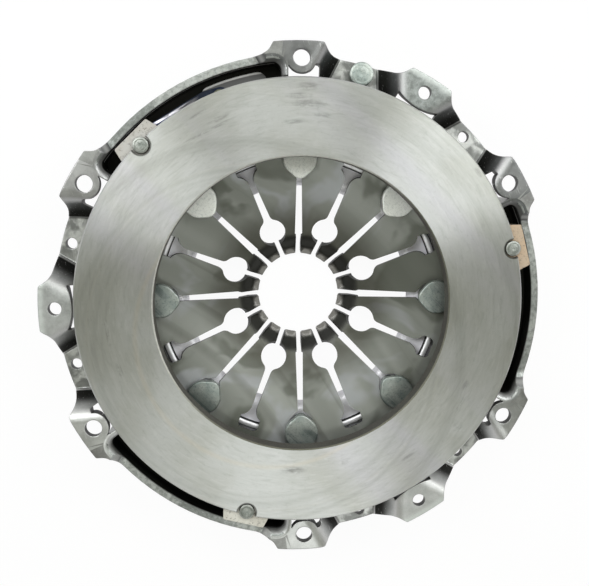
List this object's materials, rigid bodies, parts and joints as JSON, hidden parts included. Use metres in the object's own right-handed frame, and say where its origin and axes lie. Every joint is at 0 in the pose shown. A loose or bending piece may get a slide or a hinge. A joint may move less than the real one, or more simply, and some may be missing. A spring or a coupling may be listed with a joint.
{
  "type": "clutch pressure plate",
  "caption": "Push-type diaphragm clutch cover: pressed steel cover, cast pressure plate on spring straps, slotted diaphragm spring on shouldered rivets.",
  "frame": {"origin": "on the clutch axis, in the plane of the bolt lugs that seats on the flywheel", "axes": "+Z along the clutch axis towards the flywheel; +X through the middle of a strap pocket, 30 degrees before the first bolt hole"},
  "size_m": [0.2716, 0.277, 0.0539],
  "materials": {
    "cover_steel": "pressed, lightly oiled",
    "cast_iron": "ground on the friction face, cast elsewhere",
    "spring_steel": "tempered and shot-peened",
    "wire_steel": "drawn wire",
    "spacer_steel": "zinc plated",
    "plated_rivet": "zinc plated",
    "strap_steel": "blued spring steel"
  },
  "bodies": {
    "cover": {"cover": "cover_steel", "diaphragm_spring": "spring_steel", "fulcrum_ring": "wire_steel", "balance_rivet": "plated_rivet", "spacer_rivet_1": "spacer_steel", "spacer_rivet_2": "spacer_steel", "spacer_rivet_3": "spacer_steel", "spacer_rivet_4": "spacer_steel", "spacer_rivet_5": "spacer_steel", "spacer_rivet_6": "spacer_steel", "spacer_rivet_7": "spacer_steel", "spacer_rivet_8": "spacer_steel", "cover_strap_rivet_1": "plated_rivet", "cover_strap_rivet_2": "plated_rivet", "cover_strap_rivet_3": "plated_rivet", "strap_1_leaf_1": "strap_steel", "strap_1_leaf_2": "strap_steel", "strap_1_leaf_3": "strap_steel", "strap_2_leaf_1": "strap_steel", "strap_2_leaf_2": "strap_steel", "strap_2_leaf_3": "strap_steel", "strap_3_leaf_1": "strap_steel", "strap_3_leaf_2": "strap_steel", "strap_3_leaf_3": "strap_steel"},
    "plate": {"pressure_plate": "cast_iron", "plate_strap_rivet_1": "plated_rivet", "plate_strap_rivet_2": "plated_rivet", "plate_strap_rivet_3": "plated_rivet"}
  },
  "joints": [
    {"name": "plate_travel", "type": "slide", "parent": "cover", "child": "plate", "axis": [0, 0, -1], "range_m": [0, 0.0035], "stiffness_N_per_m": 55000, "springref_m": -0.0008, "deforming": ["diaphragm_spring", "strap_1_leaf_1", "strap_1_leaf_2", "strap_1_leaf_3", "strap_2_leaf_1", "strap_2_leaf_2", "strap_2_leaf_3", "strap_3_leaf_1", "strap_3_leaf_2", "strap_3_leaf_3"]}
  ]
}
